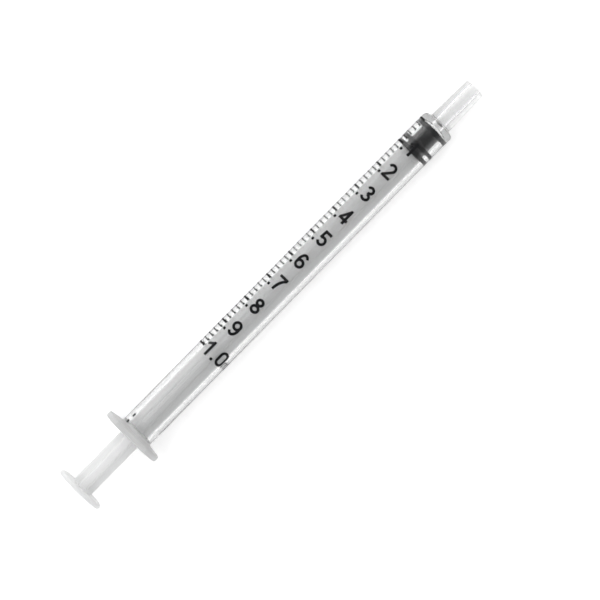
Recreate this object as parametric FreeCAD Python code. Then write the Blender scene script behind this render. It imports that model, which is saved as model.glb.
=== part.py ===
import FreeCAD, Part
import math
import os

# Slim one millilitre syringe with a plain slip tip, in millimetres.
# The origin is the centre of the tip's open end. +X points out of the tip along the syringe's axis,
# +Z is up, and the finger flange's long side lies along Y. The plunger is pushed fully in.

Vector = FreeCAD.Vector
ORIGIN = Vector(0, 0, 0)
AXIS = Vector(1, 0, 0)
TOUCH = 1e-5  # points nearer than this are one point
PAST = 1.0  # how far a cutting shape runs past the face it cuts

# Barrel
NOMINAL_VOLUME = 1000.0  # cubic millimetres between the first and the last scale line
BORE_DIAMETER = 4.70
BARREL_WALL = 1.075
END_WALL = 1.05  # from the bore's end to the shoulder, on the axis
END_CONE_RISE = 0.50  # how far the bore's end cone leans back at the wall
SHOULDER_RADIUS = 0.90
GRIP_LENGTH = 21.87  # from the last scale line to the flange's rear face

# Slip tip: a six per cent cone with a stepped channel through it
TIP_LENGTH = 9.19
TIP_END_DIAMETER = 3.95
TIP_TAPER = 0.06  # loss of diameter for each millimetre of length
TIP_ROUND = 0.28
TIP_ROOT_CHAMFER = 0.16
FRONT_CHANNEL_DIAMETER = 1.82
FRONT_CHANNEL_LENGTH = 6.07
REAR_CHANNEL_DIAMETER = 1.68
CHANNEL_CHAMFER = 0.15

# Finger flange: a round plate with two flats
FLANGE_SPAN = 12.40
FLANGE_ACROSS_FLATS = 10.00
FLANGE_CORNER_RADIUS = 0.80
FLANGE_RIM = 1.15
FLANGE_CROWN = 0.45  # extra thickness where the plate meets the barrel
FLANGE_ROOT_RADIUS = 0.35
FLANGE_EDGE_CHAMFER = 0.18

# Mouth of the bore, behind a bead that keeps the plunger in
MOUTH_FLARE = 0.30
MOUTH_RELIEF = 0.08
BEAD_DISTANCE = 3.90  # from the flange's rear face to the crest of the bead
BEAD_HEIGHT = 0.08
BEAD_RAMP = 0.70
BEAD_CREST_RADIUS = 1.50

# Rubber stopper, from its nose back
NOSE_GAP = 0.06
SEAL_CLEARANCE = 0.02
FRONT_RIB = 1.04
WAIST = 2.62
MIDDLE_RIB = 0.92
GROOVE = 0.53
REAR_RIB = 0.97
WAIST_DIAMETER = 3.98
GROOVE_DIAMETER = 4.00
NOSE_FLAT_DIAMETER = 2.00
RIB_CHAMFER = 0.10
WAIST_CHAMFER = 0.14

# Snap joint between the plunger rod's head and the stopper's socket
SNAP_CLEARANCE = 0.05
SOCKET_LIP = 1.20
SOCKET_LENGTH = 2.20
SOCKET_DIAMETER = 3.00
SOCKET_MOUTH_DIAMETER = 2.00
SOCKET_LEAN = 0.60  # length of the cone at the socket's front end
SOCKET_END_DIAMETER = 1.80

# Plunger rod
ROD_CLEARANCE = 0.13  # between the ribs' rounded edges and the bore
RIB_THICKNESS = 1.55
RIB_EDGE_RADIUS = 0.22
RIB_ROOT_RADIUS = 0.40
PUSH_DISC = 0.80
PUSH_DISC_CLEARANCE = 0.20
PUSH_DISC_CHAMFER = 0.08
THUMB_STANDOFF = 12.60  # from the flange's rear face to the thumb rest
THUMB_DIAMETER = 9.80
THUMB_THICKNESS = 0.95
THUMB_EDGE_CHAMFER = 0.22
THUMB_ROOT_CHAMFER = 0.16  # where the ribs meet the thumb rest

# Printed scale: lines of ink that wrap round the barrel, on its +Y side
SCALE_DIVISIONS = 50
DIVISIONS_PER_LONG_LINE = 5
INK_THICKNESS = 0.03
LONG_LINE_WIDTH = 0.36
SHORT_LINE_WIDTH = 0.22
LINE_START_ANGLE = 43.0  # degrees from +Z towards +Y
LONG_LINE_ANGLE = 64.0
SHORT_LINE_ANGLE = 47.0

BORE_RADIUS = BORE_DIAMETER / 2
BARREL_RADIUS = BORE_RADIUS + BARREL_WALL
SCALE_LENGTH = NOMINAL_VOLUME / (math.pi * BORE_RADIUS**2)

# Stations along the axis, from the tip back
X_SHOULDER = -TIP_LENGTH
X_BORE_END = X_SHOULDER - END_WALL
X_BORE_WALL_END = X_BORE_END - END_CONE_RISE
X_NOSE = X_BORE_END - NOSE_GAP
X_ZERO_LINE = X_NOSE - END_CONE_RISE
X_FRONT_RIB_END = X_ZERO_LINE - FRONT_RIB
X_WAIST_END = X_FRONT_RIB_END - WAIST
X_MIDDLE_RIB_END = X_WAIST_END - MIDDLE_RIB
X_GROOVE_END = X_MIDDLE_RIB_END - GROOVE
X_STOPPER_REAR = X_GROOVE_END - REAR_RIB
X_SOCKET_LIP = X_STOPPER_REAR + SOCKET_LIP
X_SOCKET_END = X_SOCKET_LIP + SOCKET_LENGTH
X_FLANGE_REAR = X_ZERO_LINE - SCALE_LENGTH - GRIP_LENGTH
X_FLANGE_FRONT = X_FLANGE_REAR + FLANGE_RIM
X_BEAD = X_FLANGE_REAR + BEAD_DISTANCE
X_THUMB_FRONT = X_FLANGE_REAR - THUMB_STANDOFF
X_THUMB_REAR = X_THUMB_FRONT - THUMB_THICKNESS


class Chamfer(float):
    """Easing that cuts a corner straight across, by this much of each side, where a plain number rounds it."""


def eased_wire(corners, place):
    """Closed wire through (u, v, easing) corners, each rounded by that radius, or cut if it is a Chamfer."""
    flat = [(Vector(u, v, 0), easing) for u, v, easing in corners]
    count = len(flat)
    eased = []
    for i, (corner, easing) in enumerate(flat):
        if not easing:
            eased.append((corner, corner, None))
            continue
        back = (flat[i - 1][0] - corner).normalize()
        ahead = (flat[(i + 1) % count][0] - corner).normalize()
        if isinstance(easing, Chamfer):
            eased.append((corner + back * easing, corner + ahead * easing, None))
            continue
        half = back.getAngle(ahead) / 2
        inward = (back + ahead).normalize()
        centre = corner + inward * (easing / math.sin(half))
        trim = easing / math.tan(half)
        eased.append((corner + back * trim, corner + ahead * trim, centre - inward * easing))
    edges = []
    for i, (start, end, middle) in enumerate(eased):
        if middle is not None:
            edges.append(Part.Arc(place(start), place(middle), place(end)).toShape())
        elif start.distanceToPoint(end) > TOUCH:
            edges.append(Part.LineSegment(place(start), place(end)).toShape())
        following = eased[(i + 1) % count][0]
        if end.distanceToPoint(following) > TOUCH:
            edges.append(Part.LineSegment(place(end), place(following)).toShape())
    return Part.Wire(edges)


def turned(corners):
    """Solid of revolution about the syringe's axis, from (x, radius, easing) corners."""
    wire = eased_wire(corners, lambda p: Vector(p.x, 0, p.y))
    return Part.Face(wire).revolve(ORIGIN, AXIS, 360)


def prism(corners, x_start, x_end):
    """Solid with one section all along X, from (y, z, easing) corners."""
    wire = eased_wire(corners, lambda p: Vector(x_start, p.x, p.y))
    return Part.Face(wire).extrude(AXIS * (x_end - x_start))


def off_axis(point):
    """Distance of a point from the syringe's axis."""
    return math.hypot(point.y, point.z)


def flange_outline():
    """Prism as long as the barrel, with the flange's outline: two arcs joined by two flats."""
    half = FLANGE_ACROSS_FLATS / 2
    disc = Part.makeCylinder(FLANGE_SPAN / 2, -X_FLANGE_REAR, Vector(X_FLANGE_REAR, 0, 0), AXIS)
    slab = Part.makeBox(-X_FLANGE_REAR, 2 * FLANGE_SPAN, 2 * half, Vector(X_FLANGE_REAR, -FLANGE_SPAN, -half))
    outline = disc.common(slab)
    corners = [edge for edge in outline.Edges
               if edge.BoundBox.XLength > FLANGE_SPAN
               and abs(abs(edge.CenterOfMass.z) - half) < TOUCH]
    return outline.makeFillet(FLANGE_CORNER_RADIUS, corners)


def tip_radius(x):
    """Outside radius of the slip tip's cone at a station on the axis."""
    return (TIP_END_DIAMETER - TIP_TAPER * x) / 2


def barrel_outside():
    """The moulding's outside: flange, tube, rounded shoulder and slip tip."""
    rim_radius = FLANGE_SPAN / 2
    blank_radius = rim_radius + FLANGE_RIM
    lean = FLANGE_CROWN / (rim_radius - BARREL_RADIUS)
    x_crown = X_FLANGE_FRONT + FLANGE_CROWN
    x_blank = X_FLANGE_FRONT - lean * (blank_radius - rim_radius)
    body = turned([
        (X_FLANGE_REAR, 0, 0),
        (X_FLANGE_REAR, blank_radius, 0),
        (x_blank, blank_radius, 0),
        (x_crown, BARREL_RADIUS, FLANGE_ROOT_RADIUS),
        (X_SHOULDER, BARREL_RADIUS, SHOULDER_RADIUS),
        (X_SHOULDER, tip_radius(X_SHOULDER), Chamfer(TIP_ROOT_CHAMFER)),
        (0, tip_radius(0), TIP_ROUND),
        (0, 0, 0),
    ])
    body = body.common(flange_outline())
    rim = [edge for edge in body.Edges
           if edge.BoundBox.XMax < x_crown
           and edge.BoundBox.XLength < FLANGE_RIM / 2
           and off_axis(edge.Vertexes[0].Point) > BARREL_RADIUS + FLANGE_ROOT_RADIUS]
    return body.makeChamfer(FLANGE_EDGE_CHAMFER, rim)


def barrel_inside():
    """Everything that is hollow: mouth, retaining bead, bore, end cone and tip channel."""
    mouth_radius = BORE_RADIUS + MOUTH_RELIEF
    front_channel = FRONT_CHANNEL_DIAMETER / 2
    rear_channel = REAR_CHANNEL_DIAMETER / 2
    return turned([
        (X_FLANGE_REAR - PAST, 0, 0),
        (X_FLANGE_REAR - PAST, mouth_radius + MOUTH_FLARE + PAST, 0),
        (X_FLANGE_REAR + MOUTH_FLARE, mouth_radius, 0),
        (X_BEAD - BEAD_RAMP, mouth_radius, 0),
        (X_BEAD, BORE_RADIUS - BEAD_HEIGHT, BEAD_CREST_RADIUS),
        (X_BEAD + BEAD_RAMP, BORE_RADIUS, 0),
        (X_BORE_WALL_END, BORE_RADIUS, 0),
        (X_BORE_END, NOSE_FLAT_DIAMETER / 2, 0),
        (X_BORE_END, rear_channel, 0),
        (-FRONT_CHANNEL_LENGTH, rear_channel, 0),
        (-FRONT_CHANNEL_LENGTH, front_channel, 0),
        (-CHANNEL_CHAMFER, front_channel, 0),
        (PAST, front_channel + CHANNEL_CHAMFER + PAST, 0),
        (PAST, 0, 0),
    ])


def barrel():
    """Clear moulded barrel with its finger flange and slip tip."""
    return barrel_outside().cut(barrel_inside())


def stopper():
    """Rubber stopper: three sealing ribs, a waist, and a socket for the plunger rod's head."""
    rib = BORE_RADIUS - SEAL_CLEARANCE
    waist = WAIST_DIAMETER / 2
    groove = GROOVE_DIAMETER / 2
    rib_edge = Chamfer(RIB_CHAMFER)
    waist_edge = Chamfer(WAIST_CHAMFER)
    body = turned([
        (X_STOPPER_REAR, 0, 0),
        (X_STOPPER_REAR, rib, rib_edge),
        (X_GROOVE_END, rib, rib_edge),
        (X_GROOVE_END, groove, rib_edge),
        (X_MIDDLE_RIB_END, groove, rib_edge),
        (X_MIDDLE_RIB_END, rib, rib_edge),
        (X_WAIST_END, rib, rib_edge),
        (X_WAIST_END, waist, waist_edge),
        (X_FRONT_RIB_END, waist, waist_edge),
        (X_FRONT_RIB_END, rib, rib_edge),
        (X_ZERO_LINE, rib, rib_edge),
        (X_NOSE, NOSE_FLAT_DIAMETER / 2, 0),
        (X_NOSE, 0, 0),
    ])
    mouth = SOCKET_MOUTH_DIAMETER / 2
    socket = turned([
        (X_STOPPER_REAR - PAST, 0, 0),
        (X_STOPPER_REAR - PAST, mouth, 0),
        (X_SOCKET_LIP, mouth, 0),
        (X_SOCKET_LIP, SOCKET_DIAMETER / 2, 0),
        (X_SOCKET_END - SOCKET_LEAN, SOCKET_DIAMETER / 2, 0),
        (X_SOCKET_END, SOCKET_END_DIAMETER / 2, 0),
        (X_SOCKET_END, 0, 0),
    ])
    return body.cut(socket)


def cross_corners(sweep, thickness):
    """Corners of a four-armed cross whose rounded arm ends just touch a circle."""
    half = thickness / 2
    edge_centre = math.sqrt((sweep - RIB_EDGE_RADIUS)**2 - (half - RIB_EDGE_RADIUS)**2)
    reach = RIB_EDGE_RADIUS + edge_centre
    corners = []
    for turn in range(4):
        angle = math.pi / 2 * turn
        for u, v, radius in ((reach, -half, RIB_EDGE_RADIUS),
                             (reach, half, RIB_EDGE_RADIUS),
                             (half, half, RIB_ROOT_RADIUS)):
            corners.append((u * math.cos(angle) - v * math.sin(angle),
                            u * math.sin(angle) + v * math.cos(angle), radius))
    return corners


def plunger_rod():
    """White moulded rod: thumb rest, cross-shaped shaft, push disc and snap head."""
    x_disc_front = X_STOPPER_REAR - SNAP_CLEARANCE
    x_disc_rear = x_disc_front - PUSH_DISC
    thumb_edge = Chamfer(THUMB_EDGE_CHAMFER)
    disc_edge = Chamfer(PUSH_DISC_CHAMFER)
    thumb = turned([
        (X_THUMB_REAR, 0, 0),
        (X_THUMB_REAR, THUMB_DIAMETER / 2, thumb_edge),
        (X_THUMB_FRONT, THUMB_DIAMETER / 2, thumb_edge),
        (X_THUMB_FRONT, 0, 0),
    ])
    shaft = prism(cross_corners(BORE_RADIUS - ROD_CLEARANCE, RIB_THICKNESS), X_THUMB_FRONT, x_disc_rear)
    handle = thumb.fuse(shaft).removeSplitter()
    root = [edge for edge in handle.Edges
            if edge.BoundBox.XLength < TOUCH
            and abs(edge.BoundBox.XMax - X_THUMB_FRONT) < TOUCH
            and off_axis(edge.Vertexes[0].Point) < BORE_RADIUS]
    handle = handle.makeChamfer(THUMB_ROOT_CHAMFER, root)
    disc_radius = BORE_RADIUS - PUSH_DISC_CLEARANCE
    neck_radius = SOCKET_MOUTH_DIAMETER / 2 - SNAP_CLEARANCE
    head_radius = SOCKET_DIAMETER / 2 - SNAP_CLEARANCE
    nose_radius = SOCKET_END_DIAMETER / 2 - SNAP_CLEARANCE
    head = turned([
        (x_disc_rear, 0, 0),
        (x_disc_rear, disc_radius, disc_edge),
        (x_disc_front, disc_radius, disc_edge),
        (x_disc_front, neck_radius, 0),
        (X_SOCKET_LIP + SNAP_CLEARANCE, neck_radius, 0),
        (X_SOCKET_LIP + SNAP_CLEARANCE, head_radius, 0),
        (X_SOCKET_END - SOCKET_LEAN - SNAP_CLEARANCE, head_radius, 0),
        (X_SOCKET_END - SNAP_CLEARANCE, nose_radius, 0),
        (X_SOCKET_END - SNAP_CLEARANCE, 0, 0),
    ])
    return handle.fuse(head).removeSplitter()


def scale_line(x, width, sweep):
    """One line of ink, wrapped round the barrel from the start angle towards +Y."""
    inner = BARREL_RADIUS
    outer = BARREL_RADIUS + INK_THICKNESS
    rear = x - width / 2
    front = x + width / 2
    corners = [(rear, inner, 0), (front, inner, 0), (front, outer, 0), (rear, outer, 0)]
    section = Part.Face(eased_wire(corners, lambda p: Vector(p.x, 0, p.y)))
    section.rotate(ORIGIN, AXIS, -LINE_START_ANGLE)
    return section.revolve(ORIGIN, AXIS, -sweep)


def scale_lines():
    """All scale lines: a long one for each tenth of the volume, and short ones between."""
    pitch = SCALE_LENGTH / SCALE_DIVISIONS
    lines = []
    for division in range(SCALE_DIVISIONS + 1):
        x = X_ZERO_LINE - pitch * division
        if division % DIVISIONS_PER_LONG_LINE:
            lines.append(scale_line(x, SHORT_LINE_WIDTH, SHORT_LINE_ANGLE))
        else:
            lines.append(scale_line(x, LONG_LINE_WIDTH, LONG_LINE_ANGLE))
    return Part.makeCompound(lines)


def main():
    os.makedirs("parts", exist_ok=True)
    for name, shape in (("barrel", barrel()), ("stopper", stopper()),
                        ("plunger_rod", plunger_rod()), ("scale_lines", scale_lines())):
        if not shape.isValid():
            raise ValueError(f"{name} isn't a valid solid")
        shape.exportStep(f"parts/{name}.step")
        box = shape.BoundBox
        print(f"{name}: {len(shape.Solids)} solids, {shape.Volume:.2f} mm3,"
              f" x {box.XMin:.2f}..{box.XMax:.2f}, y {box.YMin:.2f}..{box.YMax:.2f},"
              f" z {box.ZMin:.2f}..{box.ZMax:.2f}")


main()
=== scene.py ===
"""A slim one millilitre syringe with a slip tip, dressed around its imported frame."""

import logging
import math
from collections.abc import Sequence
from dataclasses import dataclass
from enum import Enum
from typing import ClassVar

import bmesh
import bpy
from mathutils import Matrix, Vector


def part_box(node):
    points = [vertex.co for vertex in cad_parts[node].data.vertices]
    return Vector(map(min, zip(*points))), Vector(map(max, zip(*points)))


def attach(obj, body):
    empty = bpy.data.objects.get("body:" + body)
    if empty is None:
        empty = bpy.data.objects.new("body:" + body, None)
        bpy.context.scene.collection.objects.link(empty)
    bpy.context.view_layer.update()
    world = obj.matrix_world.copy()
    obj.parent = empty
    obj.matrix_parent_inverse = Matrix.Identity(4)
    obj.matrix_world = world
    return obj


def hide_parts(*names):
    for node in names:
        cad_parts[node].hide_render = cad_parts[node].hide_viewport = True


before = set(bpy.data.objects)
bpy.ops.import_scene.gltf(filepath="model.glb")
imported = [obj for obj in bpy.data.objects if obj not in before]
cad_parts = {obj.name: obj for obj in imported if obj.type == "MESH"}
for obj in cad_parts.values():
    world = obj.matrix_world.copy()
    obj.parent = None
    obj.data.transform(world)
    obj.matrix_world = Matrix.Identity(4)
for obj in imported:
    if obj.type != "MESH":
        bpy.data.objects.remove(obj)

LOG = logging.getLogger("syringe")
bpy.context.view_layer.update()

# A millimetre in metres, and the distance in millimetres under which two points are one
MM = 0.001
MERGED = 0.0005

# Number of short edges in a round, and the angle in degrees past which an edge is sharp
ROUND_STEPS = 6
SHARP_FROM = 38.0

# The mean of a noise, and a depth that is the same for red, green and blue
NOISE_MEAN = 0.5
EVEN = (1.0, 1.0, 1.0)

WHITE = (1.0, 1.0, 1.0, 1.0)
BLACK = (0.0, 0.0, 0.0, 1.0)

Number = float | int
Pair = tuple[float, float]
Colour = tuple[float, float, float]


class Slot(Enum):
    """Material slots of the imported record."""

    CLEAR_PLASTIC = "clear_plastic"
    BLACK_INK = "black_ink"
    BLACK_RUBBER = "black_rubber"
    WHITE_PLASTIC = "white_plastic"


class Body(Enum):
    """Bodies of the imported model."""

    BARREL = "barrel"
    STOPPER = "stopper"
    PLUNGER_ROD = "plunger_rod"


def node_box(node: str) -> tuple[Vector, Vector]:
    """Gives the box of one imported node.

    Args:
        node: Name of the node.

    Returns:
        Its lowest and its highest corner, in millimetres.
    """
    low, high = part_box(node)
    return low / MM, high / MM


@dataclass(frozen=True)
class Pattern:
    """A soft random pattern of a finish.

    Attributes:
        size: Size of a patch, in millimetres.
        detail: Number of finer layers.
        drawn_out: How many times longer a patch is along the syringe than across it.
    """

    size: float
    detail: float = 2.0
    drawn_out: float = 1.0


class Signal:
    """The value of a shader socket, which takes part in Python arithmetic."""

    def __init__(self, graph: "Graph", socket: bpy.types.NodeSocket) -> None:
        """Keeps the graph and the socket."""
        self.graph = graph
        self.socket = socket

    def __add__(self, other: "Signal | Number") -> "Signal":
        """Adds a value."""
        return self.graph.math("ADD", self, other)

    def __radd__(self, other: Number) -> "Signal":
        """Is added to a number."""
        return self.graph.math("ADD", other, self)

    def __sub__(self, other: "Signal | Number") -> "Signal":
        """Takes a value away."""
        return self.graph.math("SUBTRACT", self, other)

    def __rsub__(self, other: Number) -> "Signal":
        """Is taken from a number."""
        return self.graph.math("SUBTRACT", other, self)

    def __mul__(self, other: "Signal | Number") -> "Signal":
        """Multiplies by a value."""
        return self.graph.math("MULTIPLY", self, other)

    def __rmul__(self, other: Number) -> "Signal":
        """Multiplies a number."""
        return self.graph.math("MULTIPLY", other, self)

    def ramp(self, start: float, end: float) -> "Signal":
        """Gives a smooth step of the value.

        Args:
            start: Value at which the step is 0.
            end: Value at which the step is 1.

        Returns:
            The step, from 0 to 1.
        """
        node = self.graph.add(
            "ShaderNodeMapRange",
            {"interpolation_type": "SMOOTHSTEP"},
            {"Value": self, "From Min": start, "From Max": end},
        )
        return self.graph.signal(node, "Result")


class Graph:
    """The nodes of one material or of the world."""

    def __init__(self, tree: bpy.types.NodeTree) -> None:
        """Starts with an empty node tree."""
        self.tree = tree
        tree.nodes.clear()

    def add(
        self,
        kind: str,
        settings: dict[str, object] | None = None,
        inputs: dict[str | int, object] | None = None,
    ) -> bpy.types.Node:
        """Makes a node.

        Args:
            kind: Blender's name of the node's type.
            settings: Properties of the node, which are set first.
            inputs: What each socket gets: a value, a socket or a signal.

        Returns:
            The new node.
        """
        node = self.tree.nodes.new(kind)
        for name, value in (settings or {}).items():
            setattr(node, name, value)
        for key, value in (inputs or {}).items():
            if isinstance(value, Signal):
                value = value.socket
            if isinstance(value, bpy.types.NodeSocket):
                self.tree.links.new(value, node.inputs[key])
            else:
                node.inputs[key].default_value = value
        return node

    def signal(self, node: bpy.types.Node, output: str | int) -> Signal:
        """Wraps one output of a node."""
        return Signal(self, node.outputs[output])

    def math(self, operation: str, *values: "Signal | Number") -> Signal:
        """Makes one Math node of an operation on values."""
        node = self.add("ShaderNodeMath", {"operation": operation}, dict(enumerate(values)))
        return self.signal(node, 0)

    def place(self, drawn_out: float = 1.0) -> bpy.types.NodeSocket:
        """Gives the object's own coordinates, in millimetres.

        Args:
            drawn_out: How many times longer a pattern is along the syringe than across it.

        Returns:
            The vector socket.
        """
        source = self.add("ShaderNodeTexCoord")
        mapping = self.add(
            "ShaderNodeMapping",
            {"vector_type": "POINT"},
            {"Vector": source.outputs["Object"], "Scale": (1 / (MM * drawn_out), 1 / MM, 1 / MM)},
        )
        return mapping.outputs["Vector"]

    def noise(self, pattern: Pattern) -> Signal:
        """Draws a pattern.

        Args:
            pattern: The pattern.

        Returns:
            Its value, from 0 to 1.
        """
        place = self.place(pattern.drawn_out)
        inputs = {"Vector": place, "Scale": 1 / pattern.size, "Detail": pattern.detail}
        return self.signal(self.add("ShaderNodeTexNoise", inputs=inputs), "Fac")

    def blend(self, amount: Signal, first: Colour, second: Colour) -> bpy.types.NodeSocket:
        """Mixes two colours.

        Args:
            amount: Share of the second colour.
            first: The colour at 0.
            second: The colour at 1.

        Returns:
            The colour socket.
        """
        node = self.add(
            "ShaderNodeMix",
            {"data_type": "RGBA"},
            {"Factor": amount, 6: (*first, 1.0), 7: (*second, 1.0)},
        )
        return node.outputs[2]

    def bump(self, height: Signal, depth: float) -> bpy.types.NodeSocket:
        """Turns a height into a normal.

        Args:
            height: The height, from 0 to 1.
            depth: Depth of the relief, in millimetres.

        Returns:
            The normal socket.
        """
        inputs = {"Height": height, "Strength": 1.0, "Distance": depth * MM}
        return self.add("ShaderNodeBump", inputs=inputs).outputs["Normal"]


@dataclass(frozen=True)
class Finish:
    """A finish of one of the syringe's materials."""

    name: str

    def material(self) -> bpy.types.Material:
        """Makes the material and dresses it.

        Returns:
            The material.
        """
        made = bpy.data.materials.new(self.name)
        made.use_nodes = True
        graph = Graph(made.node_tree)
        inputs = {"Surface": self.surface(graph).outputs[0]}
        body = self.body(graph)
        if body:
            inputs["Volume"] = body.outputs[0]
        graph.add("ShaderNodeOutputMaterial", inputs=inputs)
        return made

    def surface(self, graph: Graph) -> bpy.types.Node:
        """Makes the shader of the surface."""
        raise NotImplementedError

    def body(self, graph: Graph) -> bpy.types.Node | None:
        """Makes the shader of the inside, where a finish has one."""
        return None


@dataclass(frozen=True)
class ClearPlastic(Finish):
    """Clear moulded polypropylene, a little hazy, with flow lines, and frosted at the finger flange.

    Attributes:
        haze: Roughness that the clouds add.
        loss: How densely the plastic swallows light, for each metre.
        ripple: Depth of the flow lines, in millimetres.
        grain_share: Share of the grain in that relief.
        milk: Colour of the plastic's milkiness.
        milk_gloss: Least roughness where it is milky, to which the grain adds some.
        milk_depth: How far light reaches into it, in millimetres.
        milk_relief: Depth of the grain there, in millimetres.
        milkiness: Share of milkiness in the tube.
        frost: Share of milkiness in the flange.
        frost_span: Stations where the frost starts and where it is full, in millimetres.
    """

    clear: Colour = (1.0, 1.0, 1.0)
    cloudy: Colour = (0.985, 0.99, 0.99)
    gloss: float = 0.07
    haze: float = 0.05
    refraction: float = 1.49
    loss: float = 3.0
    ripple: float = 0.0003
    grain_share: float = 0.2
    milk: Colour = (0.95, 0.95, 0.955)
    milk_gloss: float = 0.35
    grain_gloss: float = 0.2
    milk_depth: float = 1.2
    milk_relief: float = 0.004
    milkiness: float = 0.012
    frost: float = 0.60
    frost_span: Pair = (-87.9, -88.6)
    clouds: Pattern = Pattern(4.0, 3.0, 2.5)
    flow_lines: Pattern = Pattern(0.5, 2.0, 40.0)
    grain: Pattern = Pattern(0.12)

    def surface(self, graph: Graph) -> bpy.types.Node:
        """Makes a transmitting surface with flow lines and haze, partly milky.

        Args:
            graph: The material's nodes.

        Returns:
            The shader.
        """
        cloud = graph.noise(self.clouds)
        grain = graph.noise(self.grain)
        height = (1 - self.grain_share) * graph.noise(self.flow_lines) + self.grain_share * grain
        clear = graph.add(
            "ShaderNodeBsdfPrincipled",
            inputs={
                "Base Color": graph.blend(cloud, self.clear, self.cloudy),
                "Roughness": self.gloss + self.haze * cloud,
                "IOR": self.refraction,
                "Transmission Weight": 1.0,
                "Normal": graph.bump(height, self.ripple),
            },
        )
        milky = graph.add(
            "ShaderNodeBsdfPrincipled",
            inputs={
                "Base Color": (*self.milk, 1.0),
                "Roughness": self.milk_gloss + self.grain_gloss * grain,
                "Subsurface Weight": 1.0,
                "Subsurface Radius": EVEN,
                "Subsurface Scale": self.milk_depth * MM,
                "Normal": graph.bump(grain, self.milk_relief),
            },
        )
        place = graph.add("ShaderNodeSeparateXYZ", inputs={0: graph.place()})
        frosted = graph.signal(place, "X").ramp(*self.frost_span)
        tube_share = self.milkiness * (1 - NOISE_MEAN + cloud)
        share = tube_share + (self.frost - self.milkiness) * frosted
        return graph.add(
            "ShaderNodeMixShader",
            inputs={0: share, 1: clear.outputs[0], 2: milky.outputs[0]},
        )

    def body(self, graph: Graph) -> bpy.types.Node:
        """Makes the plastic swallow a little light, more where it is thick."""
        return graph.add("ShaderNodeVolumeAbsorption", inputs={"Color": BLACK, "Density": self.loss})


@dataclass(frozen=True)
class WhitePlastic(Finish):
    """Milky white moulded polypropylene, with a faint skin of flow marks.

    Attributes:
        grain_gloss: Roughness that the grain adds to the least one.
        glow: Share of light that passes through its skin.
        glow_depth: How far that light reaches, in millimetres.
        relief: Depth of the flow marks, in millimetres.
        grain_share: Share of the grain in that relief.
    """

    pale: Colour = (0.955, 0.96, 0.955)
    milky: Colour = (0.93, 0.935, 0.935)
    gloss: float = 0.30
    grain_gloss: float = 0.12
    glow: float = 1.0
    glow_depth: float = 3.0
    relief: float = 0.006
    grain_share: float = 0.3
    clouds: Pattern = Pattern(3.0, 3.0, 2.0)
    flow_marks: Pattern = Pattern(0.35, 2.0, 20.0)
    grain: Pattern = Pattern(0.08)

    def surface(self, graph: Graph) -> bpy.types.Node:
        """Makes a softly glowing surface.

        Args:
            graph: The material's nodes.

        Returns:
            The shader.
        """
        grain = graph.noise(self.grain)
        height = (1 - self.grain_share) * graph.noise(self.flow_marks) + self.grain_share * grain
        return graph.add(
            "ShaderNodeBsdfPrincipled",
            inputs={
                "Base Color": graph.blend(graph.noise(self.clouds), self.pale, self.milky),
                "Roughness": self.gloss + self.grain_gloss * grain,
                "Subsurface Weight": self.glow,
                "Subsurface Radius": EVEN,
                "Subsurface Scale": self.glow_depth * MM,
                "Normal": graph.bump(height, self.relief),
            },
        )


@dataclass(frozen=True)
class BlackRubber(Finish):
    """Black rubber with a wet film of silicone oil. Its relief is in millimetres."""

    dark: Colour = (0.006, 0.0065, 0.008)
    bloom: Colour = (0.014, 0.015, 0.018)
    gloss: float = 0.10
    cloud_gloss: float = 0.06
    oil: float = 0.25
    oil_gloss: float = 0.1
    oil_edges: Pair = (0.3, 0.7)
    relief: float = 0.004
    clouds: Pattern = Pattern(0.9, 4.0)
    grain: Pattern = Pattern(0.05, 3.0)

    def surface(self, graph: Graph) -> bpy.types.Node:
        """Makes a satin black surface.

        Args:
            graph: The material's nodes.

        Returns:
            The shader.
        """
        cloud = graph.noise(self.clouds)
        return graph.add(
            "ShaderNodeBsdfPrincipled",
            inputs={
                "Base Color": graph.blend(cloud, self.dark, self.bloom),
                "Roughness": self.gloss + self.cloud_gloss * cloud,
                "Coat Weight": self.oil * cloud.ramp(*self.oil_edges),
                "Coat Roughness": self.oil_gloss,
                "Normal": graph.bump(graph.noise(self.grain), self.relief),
            },
        )


@dataclass(frozen=True)
class PrintedInk(Finish):
    """Black printing ink, a little uneven where the film is thin. Its relief is in millimetres."""

    full: Colour = (0.006, 0.006, 0.007)
    thin: Colour = (0.020, 0.020, 0.022)
    gloss: float = 0.6
    patch_gloss: float = 0.2
    shine: float = 0.2
    relief: float = 0.003
    thin_edges: Pair = (0.45, 0.75)
    patches: Pattern = Pattern(0.25, 3.0)

    def surface(self, graph: Graph) -> bpy.types.Node:
        """Makes a dull black surface.

        Args:
            graph: The material's nodes.

        Returns:
            The shader.
        """
        patch = graph.noise(self.patches)
        return graph.add(
            "ShaderNodeBsdfPrincipled",
            inputs={
                "Base Color": graph.blend(patch.ramp(*self.thin_edges), self.full, self.thin),
                "Roughness": self.gloss + self.patch_gloss * patch,
                "Specular IOR Level": self.shine,
                "Normal": graph.bump(patch, self.relief),
            },
        )


@dataclass(frozen=True)
class Corner:
    """A corner of a turned outline.

    Attributes:
        x: Station along the axis.
        r: Distance from the axis.
        rounding: Radius of the round that replaces the corner.
    """

    x: float
    r: float
    rounding: float = 0.0


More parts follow.
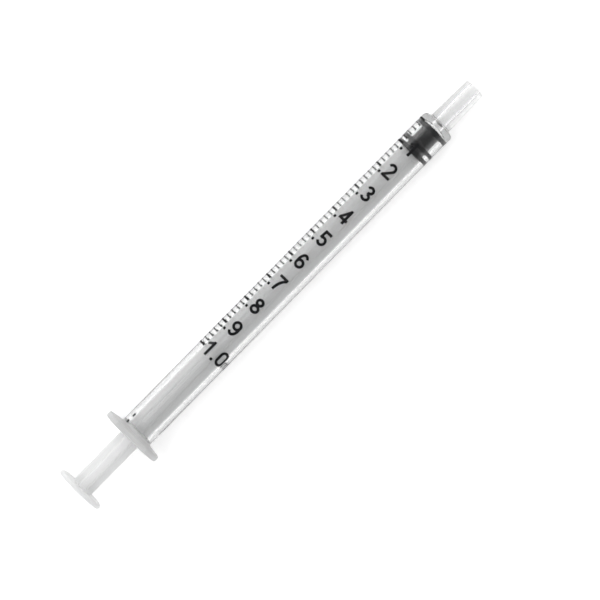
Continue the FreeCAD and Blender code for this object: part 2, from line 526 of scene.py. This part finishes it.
def rounded(corners: Sequence[Corner], closed: bool) -> list[Pair]:
    """Rounds the corners of an outline.

    Args:
        corners: The corners in order.
        closed: Whether the last corner joins the first.

    Returns:
        The outline's points.
    """
    points: list[Pair] = []
    count = len(corners)
    for i, corner in enumerate(corners):
        at = Vector((corner.x, corner.r))
        is_end = not closed and i in (0, count - 1)
        if is_end or not corner.rounding:
            points.append(tuple(at))
            continue
        before = corners[i - 1]
        after = corners[(i + 1) % count]
        back = (Vector((before.x, before.r)) - at).normalized()
        ahead = (Vector((after.x, after.r)) - at).normalized()
        half = back.angle(ahead) / 2
        centre = at + (back + ahead).normalized() * corner.rounding / math.sin(half)
        start = at + back * corner.rounding / math.tan(half) - centre
        turn = (math.pi - 2 * half) * math.copysign(1.0, back.x * ahead.y - back.y * ahead.x)
        for step in range(ROUND_STEPS + 1):
            turning = Matrix.Rotation(-turn * step / ROUND_STEPS, 2)
            points.append(tuple(centre + turning @ start))
    return points


def turned(corners: Sequence[Corner], closed: bool, segments: int) -> bmesh.types.BMesh:
    """Spins a rounded outline round the syringe's axis.

    Args:
        corners: The outline's corners, in millimetres.
        closed: Whether the outline is a loop, as it is round a hollow piece.
        segments: Number of faces round the axis.

    Returns:
        The mesh.
    """
    bm = bmesh.new()
    verts = [bm.verts.new((x, 0.0, r)) for x, r in rounded(corners, closed)]
    pairs = list(zip(verts, verts[1:]))
    if closed:
        pairs.append((verts[-1], verts[0]))
    edges = [bm.edges.new(pair) for pair in pairs]
    bmesh.ops.spin(
        bm,
        geom=verts + edges,
        cent=(0, 0, 0),
        axis=(1, 0, 0),
        angle=2 * math.pi,
        steps=segments,
        use_merge=True,
    )
    return bm


def united(solids: Sequence[bmesh.types.BMesh]) -> bmesh.types.BMesh:
    """Joins closed solids that overlap, so that no wall is left inside the plastic.

    Args:
        solids: The meshes, which are freed.

    Returns:
        The mesh of the one solid.
    """
    parts: list[bpy.types.Object] = []
    for solid in solids:
        bmesh.ops.remove_doubles(solid, verts=solid.verts, dist=MERGED)
        bmesh.ops.recalc_face_normals(solid, faces=solid.faces)
        part = bpy.data.objects.new("solid", bpy.data.meshes.new("solid"))
        solid.to_mesh(part.data)
        solid.free()
        bpy.context.scene.collection.objects.link(part)
        parts.append(part)
    for other in parts[1:]:
        union = parts[0].modifiers.new("union", "BOOLEAN")
        union.operation = "UNION"
        union.solver = "EXACT"
        union.object = other
    evaluated = parts[0].evaluated_get(bpy.context.evaluated_depsgraph_get())
    mesh = bpy.data.meshes.new_from_object(evaluated)
    joined = bmesh.new()
    joined.from_mesh(mesh)
    bpy.data.meshes.remove(mesh)
    for part in parts:
        bpy.data.meshes.remove(part.data)
    return joined


class Piece:
    """A piece of the syringe, drawn in millimetres, which rides on its body."""

    NAME: ClassVar[str]
    BODY: ClassVar[Body] = Body.BARREL
    SLOT: ClassVar[Slot] = Slot.CLEAR_PLASTIC
    REPLACES: ClassVar[tuple[str, ...]] = ()

    def draw(self) -> bmesh.types.BMesh:
        """Draws the piece."""
        raise NotImplementedError

    def build(self, finish: Finish) -> bpy.types.Object:
        """Draws the piece and turns it into an object in metres.

        Args:
            finish: Its finish.

        Returns:
            The new object.
        """
        bm = self.draw()
        bmesh.ops.remove_doubles(bm, verts=bm.verts, dist=MERGED)
        bmesh.ops.recalc_face_normals(bm, faces=bm.faces)
        bmesh.ops.scale(bm, vec=(MM, MM, MM), verts=bm.verts)
        mesh = bpy.data.meshes.new(self.NAME)
        bm.to_mesh(mesh)
        bm.free()
        mesh.materials.append(finish.material())
        mesh.shade_smooth()
        mesh.set_sharp_from_angle(angle=math.radians(SHARP_FROM))
        piece = bpy.data.objects.new(self.NAME, mesh)
        bpy.context.scene.collection.objects.link(piece)
        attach(piece, self.BODY.value)
        if self.REPLACES:
            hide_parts(*self.REPLACES)
        LOG.info("%s: %d faces on %s", self.NAME, len(mesh.polygons), self.BODY.value)
        return piece


@dataclass
class Barrel(Piece):
    """Clear barrel with its finger flange and slip tip, in millimetres."""

    NAME = "barrel_shell"
    REPLACES = ("barrel",)

    bore_radius: float = 2.35
    radius: float = 3.425
    end_wall: float = 1.05
    end_cone_rise: float = 0.50
    end_cone_rounding: float = 0.10
    shoulder_rounding: float = 0.90
    tip_length: float = 9.19
    tip_radius: float = 1.975
    tip_taper: float = 0.03
    tip_rounding: float = 0.28
    tip_root_rounding: float = 0.25
    front_channel: float = 0.91
    front_channel_length: float = 6.07
    rear_channel: float = 0.84
    channel_chamfer: float = 0.15
    channel_rounding: float = 0.04
    step_rounding: float = 0.02
    nose_flat: float = 1.0
    across_flats: float = 5.0
    corner_rounding: float = 0.80
    rim: float = 1.15
    crown: float = 0.45
    root_rounding: float = 0.35
    edge_rounding: float = 0.25
    mouth_flare: float = 0.30
    mouth_rounding: float = 0.05
    mouth_relief: float = 0.08
    bead_distance: float = 3.90
    bead_height: float = 0.08
    bead_ramp: float = 0.70
    bead_rounding: float = 1.50
    segments: int = 192

    def __post_init__(self) -> None:
        """Takes the flange's place and reach from the frame."""
        low, high = node_box("barrel")
        self.rear = low.x
        self.reach = high.y

    def corners(self) -> list[Corner]:
        """Lists the corners of the wall's section.

        Returns:
            The corners, outside first.
        """
        front = self.rear + self.rim
        mouth = self.bore_radius + self.mouth_relief
        bead = self.rear + self.bead_distance
        shoulder = -self.tip_length
        tip_root = self.tip_radius + self.tip_taper * self.tip_length
        channel_step = -self.front_channel_length
        bore_end = shoulder - self.end_wall
        return [
            Corner(self.rear, mouth + self.mouth_flare, self.mouth_rounding),
            Corner(self.rear, self.reach, self.edge_rounding),
            Corner(front, self.reach, self.edge_rounding),
            Corner(front + self.crown, self.radius, self.root_rounding),
            Corner(shoulder, self.radius, self.shoulder_rounding),
            Corner(shoulder, tip_root, self.tip_root_rounding),
            Corner(0, self.tip_radius, self.tip_rounding),
            Corner(0, self.front_channel + self.channel_chamfer, self.channel_rounding),
            Corner(-self.channel_chamfer, self.front_channel, self.channel_rounding),
            Corner(channel_step, self.front_channel, self.step_rounding),
            Corner(channel_step, self.rear_channel, self.step_rounding),
            Corner(bore_end, self.rear_channel, self.channel_rounding),
            Corner(bore_end, self.nose_flat),
            Corner(bore_end - self.end_cone_rise, self.bore_radius, self.end_cone_rounding),
            Corner(bead + self.bead_ramp, self.bore_radius),
            Corner(bead, self.bore_radius - self.bead_height, self.bead_rounding),
            Corner(bead - self.bead_ramp, mouth),
            Corner(self.rear + self.mouth_flare, mouth),
        ]

    def flange_reach(self, angle: float) -> float:
        """Gives the flange's outline, two arcs joined by two flats with rounded corners.

        Args:
            angle: Direction from the flange's long side, in radians.

        Returns:
            The outline's distance from the axis.
        """
        sine = abs(math.sin(angle))
        cosine = abs(math.cos(angle))
        centre_z = self.across_flats - self.corner_rounding
        centre_y = math.sqrt((self.reach - self.corner_rounding) ** 2 - centre_z**2)
        if sine * centre_y < cosine * centre_z:
            return self.reach
        if sine * centre_y > cosine * self.across_flats:
            return self.across_flats / sine
        along = centre_y * cosine + centre_z * sine
        inside = centre_y**2 + centre_z**2 - self.corner_rounding**2
        return along + math.sqrt(along**2 - inside)

    def trim_flange(self, bm: bmesh.types.BMesh) -> None:
        """Draws the round flange in to its real outline, and keeps its rim's rounding.

        Args:
            bm: The barrel's mesh, with a round flange.
        """
        kept = self.reach - self.edge_rounding
        for vert in bm.verts:
            radius = math.hypot(vert.co.y, vert.co.z)
            if radius <= self.radius or vert.co.x > self.rear + self.rim + self.crown:
                continue
            loss = self.reach - self.flange_reach(math.atan2(vert.co.z, vert.co.y))
            share = min(1.0, (radius - self.radius) / (kept - self.radius))
            factor = (radius - loss * share) / radius
            vert.co.y *= factor
            vert.co.z *= factor

    def draw(self) -> bmesh.types.BMesh:
        """Turns the barrel and trims its flange.

        Returns:
            The mesh.
        """
        bm = turned(self.corners(), True, self.segments)
        self.trim_flange(bm)
        return bm


@dataclass
class Stopper(Piece):
    """Rubber stopper with three ribs pressed to the bore, in millimetres."""

    NAME = "stopper_ribbed"
    BODY = Body.STOPPER
    SLOT = Slot.BLACK_RUBBER
    REPLACES = ("stopper",)

    bore_radius: float = 2.35
    squeeze: float = 0.012
    front_rib: float = 1.04
    waist: float = 2.62
    middle_rib: float = 0.92
    groove: float = 0.53
    rear_rib: float = 0.97
    waist_radius: float = 1.99
    groove_radius: float = 2.00
    nose_rise: float = 0.50
    nose_flat: float = 1.0
    nose_rounding: float = 0.10
    rib_rounding: float = 0.15
    waist_rounding: float = 0.20
    socket_lip: float = 1.20
    socket_length: float = 2.20
    socket_radius: float = 1.50
    socket_mouth: float = 1.0
    socket_rounding: float = 0.05
    socket_lean: float = 0.60
    socket_end: float = 0.90
    segments: int = 128

    def __post_init__(self) -> None:
        """Takes the nose's place from the frame."""
        self.nose = node_box("stopper")[1].x

    def corners(self) -> list[Corner]:
        """Lists the corners of the section.

        Returns:
            The corners, from the nose to the socket's end.
        """
        rib = self.bore_radius + self.squeeze
        shoulder = self.nose - self.nose_rise
        front = shoulder - self.front_rib
        waist_end = front - self.waist
        middle = waist_end - self.middle_rib
        groove_end = middle - self.groove
        rear = groove_end - self.rear_rib
        lip = rear + self.socket_lip
        end = lip + self.socket_length
        return [
            Corner(self.nose, 0),
            Corner(self.nose, self.nose_flat, self.nose_rounding),
            Corner(shoulder, rib, self.rib_rounding),
            Corner(front, rib, self.rib_rounding),
            Corner(front, self.waist_radius, self.waist_rounding),
            Corner(waist_end, self.waist_radius, self.waist_rounding),
            Corner(waist_end, rib, self.rib_rounding),
            Corner(middle, rib, self.rib_rounding),
            Corner(middle, self.groove_radius, self.rib_rounding),
            Corner(groove_end, self.groove_radius, self.rib_rounding),
            Corner(groove_end, rib, self.rib_rounding),
            Corner(rear, rib, self.rib_rounding),
            Corner(rear, self.socket_mouth, self.socket_rounding),
            Corner(lip, self.socket_mouth, self.socket_rounding),
            Corner(lip, self.socket_radius),
            Corner(end - self.socket_lean, self.socket_radius),
            Corner(end, self.socket_end),
            Corner(end, 0),
        ]

    def draw(self) -> bmesh.types.BMesh:
        """Turns the stopper."""
        return turned(self.corners(), False, self.segments)


@dataclass
class PlungerRod(Piece):
    """White plunger rod: thumb rest, cross-shaped shaft, push disc and snap head, in millimetres."""

    NAME = "rod_moulding"
    BODY = Body.PLUNGER_ROD
    SLOT = Slot.WHITE_PLASTIC
    REPLACES = ("plunger_rod",)

    sweep_radius: float = 2.22
    arm_thickness: float = 1.55
    arm_rounding: float = 0.22
    root_rounding: float = 0.40
    thumb_thickness: float = 0.95
    thumb_rounding: float = 0.32
    disc_radius: float = 2.15
    disc_thickness: float = 0.80
    disc_rounding: float = 0.12
    disc_clearance: float = 0.05
    neck_radius: float = 0.95
    head_radius: float = 1.45
    head_lean: float = 0.60
    head_rounding: float = 0.05
    nose_radius: float = 0.85
    neck_length: float = 1.30
    overlap: float = 0.20
    segments: int = 128

    def __post_init__(self) -> None:
        """Takes both ends and the thumb rest's reach from the frame."""
        low, high = node_box("plunger_rod")
        self.rear = low.x
        self.front = high.x
        self.thumb_radius = high.y
        self.disc_front = node_box("stopper")[0].x - self.disc_clearance

    def thumb_corners(self) -> list[Corner]:
        """Lists the corners of the thumb rest's section.

        Returns:
            The corners, from its rear face to its front.
        """
        face = self.rear + self.thumb_thickness
        return [
            Corner(self.rear, 0),
            Corner(self.rear, self.thumb_radius, self.thumb_rounding),
            Corner(face, self.thumb_radius, self.thumb_rounding),
            Corner(face, 0),
        ]

    def head_corners(self) -> list[Corner]:
        """Lists the corners of the push disc's and snap head's section.

        Returns:
            The corners, from the rear.
        """
        disc_rear = self.disc_front - self.disc_thickness
        neck_end = self.disc_front + self.neck_length
        return [
            Corner(disc_rear, 0),
            Corner(disc_rear, self.disc_radius, self.disc_rounding),
            Corner(self.disc_front, self.disc_radius, self.disc_rounding),
            Corner(self.disc_front, self.neck_radius, self.head_rounding),
            Corner(neck_end, self.neck_radius, self.head_rounding),
            Corner(neck_end, self.head_radius, self.head_rounding),
            Corner(self.front - self.head_lean, self.head_radius, self.head_rounding),
            Corner(self.front, self.nose_radius, self.head_rounding),
            Corner(self.front, 0),
        ]

    def shaft(self) -> bmesh.types.BMesh:
        """Draws the shaft: a square drawn out into four arms, then along the axis, then rounded.

        Returns:
            The mesh.
        """
        bm = bmesh.new()
        half = self.arm_thickness / 2
        inner = half - self.arm_rounding
        round_centre = self.sweep_radius - self.arm_rounding
        reach = self.arm_rounding + math.sqrt(round_centre**2 - inner**2)
        start = self.rear + self.thumb_thickness - self.overlap
        end = self.disc_front - self.disc_thickness + self.overlap
        to_section = Matrix.Translation((start, 0, 0)) @ Matrix.Rotation(math.pi / 2, 4, "Y")
        made = bmesh.ops.create_grid(bm, x_segments=1, y_segments=1, size=half, matrix=to_section)
        square = made["verts"][0].link_faces[0]
        section = [square]
        for edge in list(square.edges):
            outward = (edge.verts[0].co + edge.verts[1].co) / 2 - Vector((start, 0, 0))
            arm = bmesh.ops.extrude_edge_only(bm, edges=[edge])["geom"]
            tips = [item for item in arm if isinstance(item, bmesh.types.BMVert)]
            bmesh.ops.translate(bm, vec=outward.normalized() * (reach - half), verts=tips)
            section += [item for item in arm if isinstance(item, bmesh.types.BMFace)]
        drawn = bmesh.ops.extrude_face_region(bm, geom=section, use_keep_orig=True)["geom"]
        far = [item for item in drawn if isinstance(item, bmesh.types.BMVert)]
        bmesh.ops.translate(bm, vec=(end - start, 0, 0), verts=far)
        far_edges = dict.fromkeys(edge for vert in far for edge in vert.link_edges)
        long_edges = [edge for edge in far_edges if edge.calc_length() > self.sweep_radius]
        middle = self.sweep_radius / 2
        for rounding, is_outer in ((self.arm_rounding, True), (self.root_rounding, False)):
            chosen = []
            for edge in long_edges:
                if edge.is_valid and (edge.verts[0].co.yz.length > middle) == is_outer:
                    chosen.append(edge)
            bmesh.ops.bevel(
                bm,
                geom=chosen,
                affect="EDGES",
                offset=rounding,
                segments=ROUND_STEPS,
                profile=0.5,
                material=-1,
                clamp_overlap=True,
            )
        return bm

    def draw(self) -> bmesh.types.BMesh:
        """Joins the shaft, the thumb rest and the head."""
        outlines = (self.thumb_corners(), self.head_corners())
        return united([self.shaft(), *(turned(outline, False, self.segments) for outline in outlines)])


def bow(centre: Pair, reach: Pair, start: float, end: float, steps: int = 14) -> list[Pair]:
    """Gives the points of an arc of an ellipse.

    Args:
        centre: Its centre.
        reach: Its half width and half height.
        start: Angle at which it starts, in degrees from the right, anticlockwise.
        end: Angle at which it ends.
        steps: Number of short edges.

    Returns:
        The points.
    """
    angles = [math.radians(start + (end - start) * step / steps) for step in range(steps + 1)]
    return [(centre[0] + reach[0] * math.cos(a), centre[1] + reach[1] * math.sin(a)) for a in angles]


def turned_over(strokes: Sequence[Sequence[Pair]], width: float) -> list[list[Pair]]:
    """Turns a glyph of a given width upside down, half a turn about its middle."""
    return [[(width - u, 1 - v) for u, v in stroke] for stroke in strokes]


@dataclass
class Lettering(Piece):
    """Numbers of the scale, drawn with a pen and wrapped round the barrel, in millimetres.

    Attributes:
        width: Width of a digit, as a share of its height.
        film: Thickness of the ink.
        line: Thickness of the scale's long lines.
        baseline_drop: Distance from a long line back to its number's baseline.
        digit_left: Left edge of a tenth's digit, from the barrel's top, as all that follow.
        digit_point: Middle of the point in front of it.
        one_left: Left edge of the 1 of the full mark.
        one_point: Middle of the point after it.
        zero_left: Left edge of the 0 after that.
        unit_left: Left edge of the unit.
        unit_rise: How far the unit stands above the number's baseline.
        arch: Half width of each arch of its first letter.
        letter_gap: Distance between the letters' stems.
        foot: Length of the second letter's foot.
        specks: Start, end and distance round the barrel of the dashes in front of the flange.
    """

    NAME = "scale_numbers"
    SLOT = Slot.BLACK_INK
    height: float = 3.13
    pen: float = 0.53
    width: float = 0.62
    film: float = 0.03
    barrel_radius: float = 3.425
    line: float = 0.36
    baseline_drop: float = 1.21
    divisions: int = 10
    digit_left: float = -1.36
    digit_point: float = -2.0
    one_left: float = -2.35
    one_point: float = 0.34
    zero_left: float = 0.98
    unit_left: float = 3.15
    unit_rise: float = 0.25
    unit_pen: float = 0.24
    arch: float = 0.30
    small_height: float = 1.35
    tall_height: float = 1.85
    letter_gap: float = 0.45
    foot: float = 0.75
    specks: tuple[tuple[float, float, float], ...] = ((-88.45, -87.85, -2.86), (-86.98, -86.22, -2.80))
    speck_pen: float = 0.50

    def __post_init__(self) -> None:
        """Takes the first and the last line's places from the frame."""
        low, high = node_box("scale_lines")
        self.zero = high.x - self.line / 2
        self.full = low.x + self.line / 2

    def glyph(self, sign: str) -> list[list[Pair]]:
        """Gives the pen strokes of a sign.

        Args:
            sign: A digit.

        Returns:
            Its strokes, in a box one high, with the pen's middle inside the box.
        """
        edge = self.pen / self.height / 2
        wide = self.width
        middle = wide / 2
        half = middle - edge
        top = 1 - edge
        stem = middle + edge
        post = wide * 0.70
        over = bow((middle, top - half), (half, half), 0, 180, steps=16)
        under = bow((middle, edge + half), (half, half), 180, 360, steps=16)
        back = bow((middle + 0.02, 0.5), (half + 0.02, 0.5 - edge), 195, 40)
        six = [bow((middle, 0.31), (half, 0.31 - edge), 0, 360, steps=28), back]
        strokes = {
            "0": [[*over, *under, over[0]]],
            "1": [[(stem, 0), (stem, 1)], [(stem, 0.90), (middle - 0.26, 0.66)]],
            "2": [
                [*bow((middle, top - half), (half, half), 165, -40), (edge, edge)],
                [(0, edge), (wide, edge)],
            ],
            "3": [
                bow((middle, 0.73), (half * 0.86, 0.27 - edge), 165, -90),
                bow((middle, 0.27), (half, 0.27 - edge), 90, -165),
                [(middle - 0.06, 0.52), (middle + 0.04, 0.52)],
            ],
            "4": [[(post, 0), (post, 1)], [(post, top), (edge, 0.29)], [(0, 0.27), (wide, 0.27)]],
            "5": [
                bow((middle, 0.32), (half, 0.32 - edge), 140, -160),
                [(edge + 0.03, 0.44), (edge + 0.08, 1)],
                [(edge, top), (wide - 0.03, top)],
            ],
            "6": six,
            "7": [
                bow((wide + 0.12, -0.05), (wide - 0.08, top + 0.05), 108, 177),
                [(0, top), (wide, top)],
            ],
            "8": [
                bow((middle, 0.74), (half * 0.86, 0.26 - edge), 0, 360, steps=28),
                bow((middle, 0.27), (half, 0.28 - edge), 0, 360, steps=28),
            ],
            "9": turned_over(six, wide),
        }
        return strokes[sign]

    def stroke_mesh(self, stroke: Sequence[Pair], pen: float) -> bpy.types.Mesh:
        """Draws one stroke as a flat film with a crowned section.

        Args:
            stroke: Points of the pen's middle, in millimetres.
            pen: Width of the stroke.

        Returns:
            The mesh, lying in the plane of its first two axes.
        """
        curve = bpy.data.curves.new("stroke", "CURVE")
        curve.dimensions = "3D"
        curve.bevel_depth = pen / 2
        curve.bevel_resolution = 2
        curve.use_fill_caps = True
        spline = curve.splines.new("POLY")
        is_loop = (Vector(stroke[0]) - Vector(stroke[-1])).length < MERGED
        points = stroke[:-1] if is_loop else stroke
        spline.points.add(len(points) - 1)
        for point, (u, v) in zip(spline.points, points):
            point.co = (u, v, 0.0, 1.0)
        spline.use_cyclic_u = is_loop
        holder = bpy.data.objects.new("stroke", curve)
        mesh = bpy.data.meshes.new_from_object(holder)
        bpy.data.objects.remove(holder)
        return mesh

    def add_film(self, bm: bmesh.types.BMesh, strokes: Sequence[Sequence[Pair]], pen: float) -> None:
        """Adds strokes as a film of ink that lies on the barrel.

        Args:
            bm: The mesh that gets the film.
            strokes: Strokes with the distance round the barrel from its top, towards the right
                of the text, and the station along the axis, in millimetres.
            pen: Width of the strokes.
        """
        flatness = self.film / pen
        for stroke in strokes:
            mesh = self.stroke_mesh(stroke, pen)
            known = set(bm.verts)
            bm.from_mesh(mesh)
            for vert in set(bm.verts) - known:
                angle = vert.co.x / self.barrel_radius
                radius = self.barrel_radius + self.film / 4 + vert.co.z * flatness
                vert.co = Vector((vert.co.y, -radius * math.sin(angle), radius * math.cos(angle)))
            bpy.data.meshes.remove(mesh)

    def digit(self, sign: str, left: float, base: float) -> list[list[Pair]]:
        """Gives the strokes of a digit that stands on the baseline."""
        size = self.height
        return [[(left + u * size, base + v * size) for u, v in stroke] for stroke in self.glyph(sign)]

    def point(self, middle: float, base: float) -> list[list[Pair]]:
        """Gives the stroke of a decimal point that stands on the baseline."""
        half = self.pen / 2
        return [[(middle - half, base + half), (middle + half, base + half)]]

    def numbers(self, bm: bmesh.types.BMesh) -> None:
        """Adds the number of each long line but the first.

        Args:
            bm: The mesh that gets them.
        """
        pitch = (self.full - self.zero) / self.divisions
        for tenth in range(1, self.divisions):
            base = self.zero + pitch * tenth - self.baseline_drop
            strokes = self.digit(str(tenth), self.digit_left, base) + self.point(self.digit_point, base)
            self.add_film(bm, strokes, self.pen)
        base = self.full - self.baseline_drop
        strokes = self.digit("1", self.one_left, base) + self.point(self.one_point, base)
        self.add_film(bm, strokes + self.digit("0", self.zero_left, base), self.pen)

    def unit(self, bm: bmesh.types.BMesh) -> None:
        """Adds the unit's two letters after the last number.

        Args:
            bm: The mesh that gets the letters.
        """
        base = self.full - self.baseline_drop + self.unit_rise
        spring = base + self.small_height - self.arch
        stems = [self.unit_left + self.arch * 2 * i for i in range(3)]
        strokes = [[(stems[0], base), (stems[0], base + self.small_height)]]
        strokes += [[(u, base), (u, spring)] for u in stems[1:]]
        reach = (self.arch, self.arch)
        strokes += [bow((u + self.arch, spring), reach, 180, 0, steps=8) for u in stems[:2]]
        stem = stems[-1] + self.letter_gap
        floor = base + self.unit_pen / 2
        strokes.append([(stem, base), (stem, base + self.tall_height)])
        strokes.append([(stem, floor), (stem + self.foot, floor)])
        self.add_film(bm, strokes, self.unit_pen)

    def dashes(self, bm: bmesh.types.BMesh) -> None:
        """Adds the two short dashes of ink in front of the flange."""
        for start, end, around in self.specks:
            self.add_film(bm, [[(around, start), (around, end)]], self.speck_pen)

    def draw(self) -> bmesh.types.BMesh:
        """Draws the numbers, the unit and the dashes.

        Returns:
            The mesh of all of them.
        """
        bm = bmesh.new()
        self.numbers(bm)
        self.unit(bm)
        self.dashes(bm)
        return bm

    def build(self, finish: Finish) -> bpy.types.Object:
        """Builds the lettering, and shows the scale's lines in the same ink.

        Args:
            finish: The ink.

        Returns:
            The new object.
        """
        piece = super().build(finish)
        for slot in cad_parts["scale_lines"].material_slots:
            slot.material = piece.data.materials[0]
        return piece


@dataclass
class Studio:
    """Pale floor, soft light and camera, in metres and degrees.

    Attributes:
        floor_lift: Light that the camera sees on the floor beyond that of the studio.
        lift_in_reflections: Share of the lift that reflections show.
        lift_through_plastic: Share of the lift that shows through the plastic as well.
        rest_points: The (x, z) points under the flange and the barrel that touch the floor.
        room: Brightness of the room past both ends of the syringe.
        level_share: Share of it at the horizon.
        side_share: Share that it gains towards the lamp's side.
        top_share: Share that it gains overhead.
        strip: Brightness of the dim strip of room over the syringe.
        strip_edge: Squares of the reach along the syringe between which the strip ends.
        panel: Brightness of the panel in that strip, on the scale's side.
        panel_edge: Reach across the syringe between which the panel starts.
        far_wall: Brightness of the wall in that strip, on the other side.
        far_wall_edge: Reach across the syringe between which that wall starts.
        lamp_bearing: The lamp's direction, anticlockwise from the syringe's axis.
        camera_aim: The point under the camera.
        view_width: Width of what it sees at the syringe.
    """

    floor_size: float = 6.0
    floor_faces: int = 8
    floor_colour: float = 0.97
    floor_lift: float = 0.45
    lift_in_reflections: float = 0.35
    lift_through_plastic: float = 0.25
    rest_points: tuple[Pair, Pair] = ((-0.0892, -0.0050), (-0.0101, -0.003425))
    room: float = 0.84
    level_share: float = 0.5
    side_share: float = 0.1
    top_share: float = 0.9
    strip: float = 0.13
    strip_edge: Pair = (0.02, 0.18)
    panel: float = 1.5
    panel_edge: Pair = (0.62, 0.70)
    far_wall: float = 0.9
    far_wall_edge: Pair = (0.78, 0.90)
    lamp_strength: float = 0.5
    lamp_spread: float = 30.0
    lamp_elevation: float = 62.0
    lamp_bearing: float = 135.0
    camera_height: float = 0.625
    camera_turn: float = -45.47
    camera_aim: Pair = (-0.05028, -0.00440)
    camera_range: Pair = (0.01, 20.0)
    view_width: float = 0.1103

    def floor(self) -> None:
        """Makes the floor that the flange's flat and the barrel rest on."""
        (x_rear, z_rear), (x_front, z_front) = self.rest_points
        slope = math.atan2(z_front - z_rear, x_front - x_rear)
        bm = bmesh.new()
        place = Matrix.Translation((x_rear, 0, z_rear)) @ Matrix.Rotation(-slope, 4, "Y")
        faces = self.floor_faces
        reach = self.floor_size / 2
        bmesh.ops.create_grid(bm, x_segments=faces, y_segments=faces, size=reach, matrix=place)
        mesh = bpy.data.meshes.new("floor")
        bm.to_mesh(mesh)
        bm.free()
        floor = bpy.data.objects.new("floor", mesh)
        bpy.context.scene.collection.objects.link(floor)
        mesh.materials.append(self.floor_paint())

    def floor_paint(self) -> bpy.types.Material:
        """Makes the floor's material, white to the camera and less so to reflections and to light.

        Returns:
            The material.
        """
        made = bpy.data.materials.new("pale_floor")
        made.use_nodes = True
        graph = Graph(made.node_tree)
        paths = graph.add("ShaderNodeLightPath")
        seen = graph.signal(paths, "Is Camera Ray")
        seen = seen + self.lift_in_reflections * graph.signal(paths, "Is Glossy Ray")
        seen = seen + self.lift_through_plastic * graph.signal(paths, "Is Transmission Ray")
        glow = {"Color": WHITE, "Strength": self.floor_lift * seen}
        lift = graph.add("ShaderNodeEmission", inputs=glow)
        paint = graph.add("ShaderNodeBsdfDiffuse", inputs={"Color": (*[self.floor_colour] * 3, 1.0)})
        both = graph.add("ShaderNodeAddShader", inputs={0: paint.outputs[0], 1: lift.outputs[0]})
        graph.add("ShaderNodeOutputMaterial", inputs={"Surface": both.outputs[0]})
        return made

    def room_light(self, graph: Graph, beside: Sequence[float]) -> Signal:
        """Gives the brightness of the room in each direction.

        Args:
            graph: The world's nodes.
            beside: Level direction towards the lamp.

        Returns:
            The brightness: bright past both ends of the syringe, and a dim strip between them
            with a panel on the scale's side and a wall on the other.
        """
        direction = graph.add("ShaderNodeTexCoord").outputs["Generated"]
        parts = graph.add("ShaderNodeSeparateXYZ", inputs={0: direction})
        along, across, up = (graph.signal(parts, axis) for axis in "XYZ")
        dot = graph.add("ShaderNodeVectorMath", {"operation": "DOT_PRODUCT"}, {0: direction, 1: beside})
        facing = graph.signal(dot, "Value")
        ends = self.room * (self.level_share + self.side_share * facing + self.top_share * up)
        strip = self.strip + (self.panel - self.strip) * across.ramp(*self.panel_edge)
        strip = strip + (self.far_wall - self.strip) * (-1 * across).ramp(*self.far_wall_edge)
        return strip + (ends - strip) * (along * along).ramp(*self.strip_edge)

    def light(self) -> None:
        """Makes the soft studio light: the room, and one wide lamp that reflections don't show."""
        bearing = math.radians(self.lamp_bearing)
        rise = math.radians(self.lamp_elevation)
        beside = Vector((math.cos(bearing), math.sin(bearing), 0.0))
        world = bpy.data.worlds.new("studio")
        world.use_nodes = True
        bpy.context.scene.world = world
        graph = Graph(world.node_tree)
        inputs = {"Color": WHITE, "Strength": self.room_light(graph, beside)}
        shine = graph.add("ShaderNodeBackground", inputs=inputs)
        graph.add("ShaderNodeOutputWorld", inputs={"Surface": shine.outputs[0]})
        lamp = bpy.data.lights.new("soft_lamp", "SUN")
        lamp.energy = self.lamp_strength
        lamp.angle = math.radians(self.lamp_spread)
        holder = bpy.data.objects.new("soft_lamp", lamp)
        holder.visible_glossy = False
        toward = beside * math.cos(rise) + Vector((0.0, 0.0, math.sin(rise)))
        holder.rotation_euler = toward.to_track_quat("Z", "Y").to_euler()
        bpy.context.scene.collection.objects.link(holder)

    def camera(self) -> None:
        """Places the camera straight above the syringe, as in the photograph."""
        data = bpy.data.cameras.new("camera")
        data.lens = data.sensor_width * self.camera_height / self.view_width
        data.clip_start, data.clip_end = self.camera_range
        camera = bpy.data.objects.new("camera", data)
        camera.location = (*self.camera_aim, self.camera_height)
        camera.rotation_euler = (0, 0, math.radians(self.camera_turn))
        bpy.context.scene.collection.objects.link(camera)
        bpy.context.scene.camera = camera

    def build(self) -> None:
        """Makes the studio and sets how colours are shown."""
        bpy.context.scene.view_settings.view_transform = "Standard"
        self.floor()
        self.light()
        self.camera()


def main() -> None:
    """Builds the studio and the syringe's pieces in order."""
    logging.basicConfig(level=logging.INFO, format="%(name)s: %(message)s")
    Studio().build()
    Barrel().build(ClearPlastic("clear_plastic"))
    Stopper().build(BlackRubber("black_rubber"))
    PlungerRod().build(WhitePlastic("white_plastic"))
    Lettering().build(PrintedInk("black_ink"))


if __name__ == "__main__":
    main()
